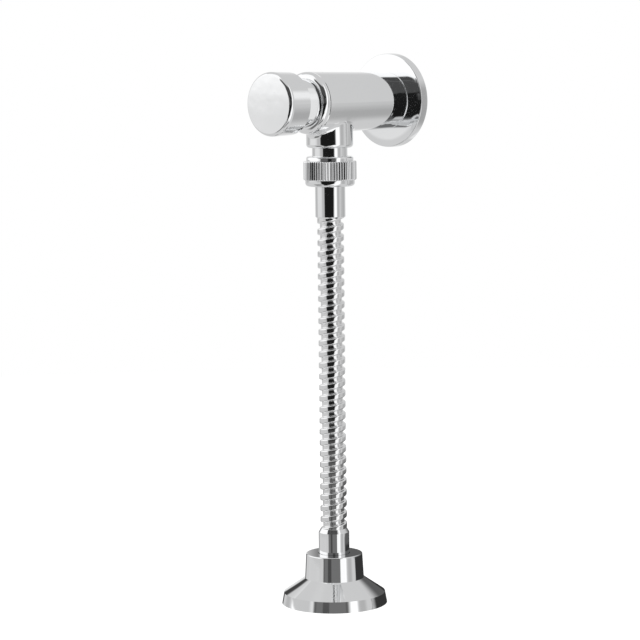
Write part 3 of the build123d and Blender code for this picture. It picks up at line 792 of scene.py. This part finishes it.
class FinishRack:
    """Every finish of the valve, by the record's material slot."""

    def __init__(self) -> None:
        """Builds the materials."""
        finishes = {
            "chrome": PolishedPlate("chrome_plate"),
            "bright_steel": PolishedPlate(
                "bright_tube", (0.91, 0.912, 0.915), (0.87, 0.873, 0.88), smooth=0.04, smeared=0.11,
                mark_scale=110.0, haze_scale=110.0 / 3, wave_height=0.00001,
            ),
            "spring_steel": TurnedMetal(
                "drawn_steel", (0.62, 0.62, 0.63), (0.5, 0.5, 0.51), smooth=0.2, rough=0.38, rings=9000.0
            ),
            "brass": TurnedMetal("turned_brass", (0.78, 0.6, 0.3), (0.62, 0.44, 0.2)),
            "acetal": Moulded(
                "natural_acetal", (0.86, 0.86, 0.82), (0.8, 0.8, 0.76), smooth=0.32, rough=0.5, grain=900.0,
                grain_height=0.000004,
            ),
            "rubber": Moulded(
                "nitrile_rubber", (0.02, 0.02, 0.022), (0.035, 0.035, 0.037), smooth=0.5, rough=0.72, grain=1500.0,
                grain_height=0.000008,
            ),
            "foam_rubber": Moulded(
                "closed_cell_foam", (0.05, 0.05, 0.052), (0.09, 0.09, 0.092), smooth=0.8, rough=0.95, grain=1400.0,
                grain_height=0.00012, open_cells=True,
            ),
            "fibre": Moulded(
                "pressed_fibre", (0.36, 0.07, 0.045), (0.27, 0.045, 0.03), smooth=0.6, rough=0.8, grain=2500.0,
                grain_height=0.00001,
            ),
        }
        self.slots = {slot: finish.material() for slot, finish in finishes.items()}

    def dress(self, node: str, slot: str) -> None:
        """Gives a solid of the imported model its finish.

        Args:
            node: Name of the node.
            slot: The record's material slot.
        """
        solid = frame["nodes"][node]
        solid.data.materials.clear()
        solid.data.materials.append(self.slots[slot])
        LOG.info("%s: finished as %s", node, slot)


class Skin:
    """A closed skin that is drawn out ring by ring along a spindle."""

    def __init__(self, spindle: Spindle) -> None:
        """Starts an empty mesh.

        Args:
            spindle: Axis that the rings stand on.
        """
        self.spindle = spindle
        self.mesh = bmesh.new()
        self.rim: Edges = []

    def start(self, radius: float, along: float, segments: int) -> Edges:
        """Lays the first ring.

        Args:
            radius: Its radius in millimetres.
            along: Its place on the axis.
            segments: Number of its edges.

        Returns:
            The ring's edges.
        """
        made = bmesh.ops.create_circle(self.mesh, segments=segments, radius=1.0)
        for index, vert in enumerate(made["verts"]):
            vert.co = self.spindle.place(radius, along, math.tau * index / segments)
        self.rim = list({edge for vert in made["verts"] for edge in vert.link_edges})
        return self.rim

    def draw(self, *rings: tuple[float | Callable[[float], float], float]) -> None:
        """Extrudes the last ring to new radii and places.

        Args:
            rings: Radius in millimetres, or a function from the angle to the radius, and place of each new ring.
        """
        for outline, along in rings:
            made = bmesh.ops.extrude_edge_only(self.mesh, edges=self.rim)["geom"]
            for vert in made:
                if isinstance(vert, bmesh.types.BMVert):
                    turn = self.spindle.turn(vert.co)
                    radius = outline(turn) if callable(outline) else outline
                    vert.co = self.spindle.place(radius, along, turn)
            self.rim = [edge for edge in made if isinstance(edge, bmesh.types.BMEdge)]

    def round_to(self, radius: float, along: float, size: float, outward: bool, steps: int = 4) -> None:
        """Draws a quarter round that ends at a radius and a place.

        Args:
            radius: Radius where it ends.
            along: Place where it ends.
            size: Radius of the rounding.
            outward: True where the skin turns from a face to a wall, False from a wall to a face.
            steps: Number of rings.
        """
        for index in range(1, steps + 1):
            angle = math.pi / 2 * index / steps
            if outward:
                self.draw((radius - size * (1 - math.sin(angle)), along - size * math.cos(angle)))
            else:
                self.draw((radius + size * math.cos(angle), along - size * (1 - math.sin(angle))))

    def close(self, first: Edges) -> None:
        """Joins the last ring to the first.

        Args:
            first: Edges of the first ring.
        """
        bmesh.ops.bridge_loops(self.mesh, edges=[*self.rim, *first])

    def round_corners(self, verts: list[bmesh.types.BMVert], widths: list[float]) -> None:
        """Rounds the corners of an outline.

        Args:
            verts: Its corners.
            widths: Length in millimetres that each rounding takes from the edges beside it, or 0 for a sharp one.
        """
        for vert, width in zip(verts, widths):
            if width > 0:
                bmesh.ops.bevel(
                    self.mesh, geom=[vert], offset=width * MM, offset_type="OFFSET", segments=4, profile=0.5,
                    affect="VERTICES", material=-1,
                )

    def turn_profile(self, corners: Sequence[Triple], steps: int) -> None:
        """Spins a closed outline round the axis.

        Args:
            corners: Radius, place and bevel of each corner, in millimetres.
            steps: Number of segments round the axis.
        """
        verts = [self.mesh.verts.new(self.spindle.place(radius, along)) for radius, along, _ in corners]
        for vert, after in zip(verts, [*verts[1:], verts[0]]):
            self.mesh.edges.new((vert, after))
        self.round_corners(verts, [width for _, _, width in corners])
        bmesh.ops.spin(
            self.mesh, geom=[*self.mesh.verts, *self.mesh.edges], cent=self.spindle.centre(),
            axis=self.spindle.axis(), angle=math.tau, steps=steps, use_merge=True,
        )

    def finish(self, name: str, slot: str, nodes: tuple[str, ...], body: str, crease: float) -> bpy.types.Object:
        """Turns the skin into a piece of the object, with the finish of the solid that it stands for.

        Args:
            name: Name of the piece.
            slot: The record's material slot.
            nodes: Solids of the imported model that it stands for, already dressed.
            body: Body that it rides on.
            crease: Angle in degrees over which an edge stays sharp.

        Returns:
            The piece.
        """
        bmesh.ops.remove_doubles(self.mesh, verts=self.mesh.verts, dist=SKIN_WELD)
        bmesh.ops.recalc_face_normals(self.mesh, faces=self.mesh.faces)
        gaps = sum(1 for edge in self.mesh.edges if not edge.is_manifold)
        for face in self.mesh.faces:
            face.smooth = True
        piece = stand(name, self.mesh)
        piece.data.set_sharp_from_angle(angle=math.radians(crease))
        piece.data.materials.append(frame["nodes"][nodes[0]].data.materials[0])
        piece.modifiers.new("even_shading", "WEIGHTED_NORMAL").keep_sharp = True
        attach(piece, body)
        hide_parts(*nodes)
        LOG.info("%s: %d faces, %d open edges, on %s", name, len(piece.data.polygons), gaps, body)
        return piece


@dataclass(frozen=True)
class Screw:
    """A right-handed screw-shaped skin between two places on an axis, with one rib a turn."""

    spindle: Spindle
    pitch: float
    crest_r: float
    valley_r: float
    crest_half: float
    flank: float
    crest_round: float
    valley_round: float
    crest_at: float
    crest_turn: float
    start: float
    end: float
    steps: int = 72

    def wave(self) -> tuple[Triple, ...]:
        """Lists the corners of one turn.

        Returns:
            Place from the middle of the crest, radius and rounding of each.
        """
        foot = self.crest_half + self.flank
        return (
            (-self.pitch / 2, self.valley_r, 0.0),
            (-foot, self.valley_r, self.valley_round),
            (-self.crest_half, self.crest_r, self.crest_round),
            (self.crest_half, self.crest_r, self.crest_round),
            (foot, self.valley_r, self.valley_round),
            (self.pitch / 2, self.valley_r, 0.0),
        )

    def lay(self, skin: Skin) -> tuple[Edges, Edges]:
        """Adds the screw to a skin and cuts it flat at both ends.

        Args:
            skin: Skin that takes it.

        Returns:
            The edges at its start and at its end.
        """
        mesh = skin.mesh
        wave = self.wave()
        axis = self.spindle.axis()
        forward = self.spindle.direction()
        climb = self.pitch * axis.dot(forward) / math.tau
        middle = self.crest_at - climb * self.crest_turn
        verts = [mesh.verts.new(self.spindle.place(radius, middle + along)) for along, radius, _ in wave]
        for vert, after in zip(verts, verts[1:]):
            mesh.edges.new((vert, after))
        skin.round_corners(verts, [width for _, _, width in wave])
        bmesh.ops.spin(
            mesh, geom=[*mesh.verts, *mesh.edges], cent=self.spindle.centre(), axis=axis,
            dvec=axis * self.pitch * MM / self.steps, angle=math.tau, steps=self.steps,
        )
        band = [*mesh.verts, *mesh.edges, *mesh.faces]
        first = math.floor((self.start - middle) / self.pitch) - 2
        last = math.ceil((self.end - middle) / self.pitch) + 2
        for turn in range(first, last):
            if turn != 0:
                copy = bmesh.ops.duplicate(mesh, geom=band)["geom"]
                moved = [item for item in copy if isinstance(item, bmesh.types.BMVert)]
                bmesh.ops.translate(mesh, verts=moved, vec=forward * turn * self.pitch * MM)
        bmesh.ops.remove_doubles(mesh, verts=mesh.verts, dist=TURN_WELD)
        cuts = [self.spindle.place(0, along) for along in (self.start, self.end)]
        for cut, outside in zip(cuts, (-1, 1)):
            bmesh.ops.bisect_plane(
                mesh, geom=[*mesh.verts, *mesh.edges, *mesh.faces], dist=CUT_SNAP, plane_co=cut,
                plane_no=forward * outside, clear_outer=True,
            )
        loose = [edge for edge in mesh.edges if edge.is_boundary]
        return tuple(
            [edge for edge in loose if all(abs((vert.co - cut).dot(forward)) < CUT_SEARCH for vert in edge.verts)]
            for cut in cuts
        )


@dataclass(frozen=True)
class RoundFlange:
    """The wall flange: a turned disc with a slight draft on its rim and a face that rolls off near its edge."""

    wall_r: float = 28.2
    face_r: float = 27.995
    thickness: float = 5.6
    edge: float = 0.9
    edge_round: float = 0.54
    corner_round: float = 0.2
    roll_r: float = 22.4
    roll_steps: int = 6
    roll_depth: float = 0.24
    recess_r: float = 25.0
    recess: float = 3.0
    hole_r: float = 10.7775
    steps: int = 192

    def build(self) -> None:
        """Makes the flange."""
        reach = self.face_r - self.edge - self.roll_r
        shares = [index / self.roll_steps for index in range(1, self.roll_steps + 1)]
        corners = (
            (self.hole_r, self.recess, 0.0),
            (self.hole_r, self.thickness, self.corner_round),
            (self.roll_r, self.thickness, 0.0),
            *((self.roll_r + reach * share, self.thickness - self.roll_depth * share**2, 0.0) for share in shares),
            (self.face_r, self.thickness - self.roll_depth, self.edge_round),
            (self.wall_r, 0.0, self.corner_round),
            (self.recess_r, 0.0, self.corner_round),
            (self.recess_r, self.recess, 0.0),
        )
        skin = Skin(Spindle.VALVE)
        skin.turn_profile(corners, self.steps)
        skin.finish("round_flange", "chrome", ("wall_flange",), "valve", crease=40.0)


@dataclass(frozen=True)
class RiserTube:
    """The corrugated riser: a thin tube with one screw-shaped rib and plain ends in its two sockets."""

    rib: Screw = Screw(
        Spindle.RISER, pitch=6.65, crest_r=7.95, valley_r=6.3, crest_half=1.68, flank=0.4, crest_round=0.7,
        valley_round=0.4, crest_at=69.7, crest_turn=math.radians(-136.1), start=68.2, end=254.4,
    )
    plain_r: float = 6.26
    inner_r: float = 5.9
    socket: float = 8.0

    def build(self) -> None:
        """Makes the tube."""
        skin = Skin(self.rib.spindle)
        skin.rim, bottom = self.rib.lay(skin)
        top_end = self.rib.start - self.socket
        bottom_end = self.rib.end + self.socket
        skin.draw(
            (self.plain_r, self.rib.start),
            (self.plain_r, top_end),
            (self.inner_r, top_end),
            (self.inner_r, bottom_end),
            (self.plain_r, bottom_end),
            (self.plain_r, self.rib.end),
        )
        skin.close(bottom)
        skin.finish("riser_tube", "bright_steel", ("corrugated_tube",), "riser", crease=50.0)


@dataclass(frozen=True)
class KnurledNut:
    """The coupling nut: a plain collar, a band of rounded ribs for the fingers, and a rounded lower collar."""

    top: float = 31.6
    top_r: float = 13.95
    top_round: float = 1.2
    grip_start: float = 34.4
    grip_end: float = 45.6
    tip_r: float = 15.7
    rib_depth: float = 0.62
    rib_count: int = 60
    rib_steps: int = 10
    rib_end: float = 0.7
    rise_steps: int = 4
    bottom: float = 49.3
    bottom_r: float = 14.7
    bottom_round: float = 2.0
    bore_r: float = 10.5275
    web_depth: float = 46.4
    web_hole_r: float = 9.25

    def rib(self, turn: float, share: float) -> float:
        """Finds the radius of the ribbed band.

        Args:
            turn: Angle round the riser, in radians.
            share: How far the ribs have risen, from 0 at their ends to 1.

        Returns:
            The radius in millimetres.
        """
        phase = (turn * self.rib_count / math.tau) % 1.0
        off_crest = 2 * min(phase, 1.0 - phase)
        height = self.rib_depth * math.sqrt(max(0.0, 1 - off_crest))
        return self.tip_r - self.rib_depth + height * share

    def build(self) -> None:
        """Makes the nut."""
        skin = Skin(Spindle.RISER)
        first = skin.start(self.bore_r, self.top, self.rib_count * self.rib_steps)
        skin.draw((self.top_r - self.top_round, self.top))
        skin.round_to(self.top_r, self.top + self.top_round, self.top_round, outward=True)
        skin.draw((self.top_r, self.grip_start))
        angles = [math.pi / 2 * step / self.rise_steps for step in range(self.rise_steps + 1)]
        rise = [(math.sin(angle), self.rib_end * (1 - math.cos(angle))) for angle in angles]
        ribs = [(share, self.grip_start + along) for share, along in rise]
        ribs += [(share, self.grip_end - along) for share, along in reversed(rise)]
        skin.draw(*((lambda turn, share=share: self.rib(turn, share), along) for share, along in ribs))
        skin.draw((self.bottom_r, self.grip_end), (self.bottom_r, self.bottom - self.bottom_round))
        skin.round_to(self.bottom_r - self.bottom_round, self.bottom, self.bottom_round, outward=False, steps=6)
        skin.draw((self.web_hole_r, self.bottom), (self.web_hole_r, self.web_depth), (self.bore_r, self.web_depth))
        skin.close(first)
        skin.finish("knurled_nut", "chrome", ("coupling_nut",), "union_nut", crease=40.0)


@dataclass(frozen=True)
class ThreadedNipple:
    """The brass inlet nipple: a half-inch pipe thread, a hexagon socket for the key, a relief and a plain spigot."""

    thread: Screw = Screw(
        Spindle.VALVE, pitch=1.814, crest_r=10.4775, valley_r=9.316, crest_half=0.151, flank=0.605, crest_round=0.1,
        valley_round=0.1, crest_at=-15.0, crest_turn=0.0, start=-14.2, end=2.0,
    )
    seam: float = 0.02
    tip: float = 0.3
    wall_end: float = -15.0
    chamfer: float = 0.8
    relief_r: float = 9.6
    relief_start: float = 2.8
    relief_end: float = 4.8
    shoulder: float = 5.6
    front: float = 17.5
    bore_r: float = 6.0
    key_half: float = 6.5
    key_end: float = -7.0

    def key(self, turn: float) -> float:
        """Finds the radius of the hexagon socket.

        Args:
            turn: Angle round the valve axis, in radians.

        Returns:
            The radius in millimetres.
        """
        return self.key_half / math.cos(turn % (math.pi / 3) - math.pi / 6)

    def build(self) -> None:
        """Makes the nipple."""
        skin = Skin(self.thread.spindle)
        skin.rim, front = self.thread.lay(skin)
        root_r = self.thread.valley_r
        spigot_r = self.thread.crest_r
        skin.draw(
            (root_r - self.seam, self.thread.start),
            (root_r - self.tip, self.wall_end),
            (self.key, self.wall_end),
            (self.key, self.key_end),
            (self.bore_r, self.key_end),
            (self.bore_r, self.front),
            (spigot_r - self.chamfer, self.front),
            (spigot_r, self.front - self.chamfer),
            (spigot_r, self.shoulder),
            (self.relief_r, self.relief_end),
            (self.relief_r, self.relief_start),
            (root_r - self.seam, self.thread.end),
        )
        skin.close(front)
        skin.finish("threaded_nipple", "brass", ("inlet_nipple",), "valve", crease=30.0)


@dataclass(frozen=True)
class SpudBung:
    """The rubber bung under the bell: a flange and a cone with three sealing ribs."""

    top: float = 276.3
    flange_r: float = 14.8
    flange_t: float = 3.5
    cone_top_r: float = 14.0
    cone_end_r: float = 12.8
    end: float = 290.3
    inner_r: float = 9.23
    rib_count: int = 3
    # Share of the rib's height, depth below its crest and rounding of each corner.
    rib: tuple[Triple, ...] = ((0.25, 0.5, 0.25), (0.45, 0.0, 0.3), (0.95, 0.0, 0.3))
    rounding: float = 0.3
    flange_rounds: tuple[float, float] = (0.6, 0.5)
    end_chamfer: float = 1.0
    steps: int = 96

    def build(self) -> None:
        """Makes the bung."""
        start = self.top + self.flange_t
        step = (self.end - start) / self.rib_count
        fall = (self.cone_top_r - self.cone_end_r) / (self.end - start)
        corners = [
            (self.inner_r, self.top, self.rounding),
            (self.flange_r, self.top, self.flange_rounds[0]),
            (self.flange_r, start, self.flange_rounds[1]),
        ]
        for index in range(self.rib_count):
            low = start + step * index
            crest = self.cone_top_r - fall * (low - start + step)
            corners += [(crest - depth, low + share * step, width) for share, depth, width in self.rib]
        corners.append((self.cone_end_r - self.end_chamfer, self.end, self.rounding))
        corners.append((self.inner_r, self.end, self.rounding))
        skin = Skin(Spindle.RISER)
        skin.turn_profile(corners, self.steps)
        skin.finish("ribbed_bung", "rubber", ("spud_seal",), "riser", crease=50.0)


@dataclass(frozen=True)
class FoamRing:
    """The foam ring in the wall flange, with softly rounded edges and a slight crown towards the wall."""

    inner_r: float = 13.5
    outer_r: float = 24.9
    flange_side: float = 3.0
    crown: float = 0.25
    crown_round: float = 2.5
    wall_round: float = 0.7
    flange_round: float = 0.3
    steps: int = 120

    def build(self) -> None:
        """Makes the ring."""
        corners = (
            (self.inner_r, self.crown, self.wall_round),
            ((self.inner_r + self.outer_r) / 2, 0.0, self.crown_round),
            (self.outer_r, self.crown, self.wall_round),
            (self.outer_r, self.flange_side, self.flange_round),
            (self.inner_r, self.flange_side, self.flange_round),
        )
        skin = Skin(Spindle.VALVE)
        skin.turn_profile(corners, self.steps)
        skin.finish("foam_ring", "foam_rubber", ("flange_seal",), "valve", crease=50.0)


@dataclass(frozen=True)
class CoilSpring:
    """The return spring: round wire in open turns."""

    seat: float = 66.1
    start: float = 67.0
    end: float = 95.6
    coil_r: float = 9.0
    wire_r: float = 0.8
    turns: int = 6
    wire_edges: int = 14
    turn_steps: int = 32
    travel: float = 8.0

    def build(self) -> None:
        """Makes the spring."""
        skin = Skin(Spindle.VALVE)
        place = Matrix.Translation(skin.spindle.place(self.coil_r, self.start))
        bmesh.ops.create_circle(skin.mesh, segments=self.wire_edges, radius=self.wire_r * MM, matrix=place)
        steps = self.turns * self.turn_steps
        advance = skin.spindle.direction() * (self.end - self.start) * MM / steps
        bmesh.ops.spin(
            skin.mesh, geom=[*skin.mesh.verts, *skin.mesh.edges], cent=skin.spindle.centre(),
            axis=skin.spindle.direction(), dvec=advance, angle=math.tau * self.turns, steps=steps,
        )
        bmesh.ops.holes_fill(skin.mesh, edges=[edge for edge in skin.mesh.edges if edge.is_boundary])
        piece = skin.finish("coil_spring", "spring_steel", ("return_spring",), "valve", crease=60.0)
        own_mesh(piece)


def main() -> None:
    """Builds the studio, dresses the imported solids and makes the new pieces."""
    logging.basicConfig(level=logging.INFO, format="%(message)s")
    Studio().build()
    finishes = FinishRack()
    for entry in frame["record"]["subparts"]:
        finishes.dress(entry["node"], entry["material_slot"])
    pieces = (RoundFlange(), RiserTube(), KnurledNut(), ThreadedNipple(), SpudBung(), FoamRing(), CoilSpring())
    for piece in pieces:
        piece.build()


if __name__ == "__main__":
    main()
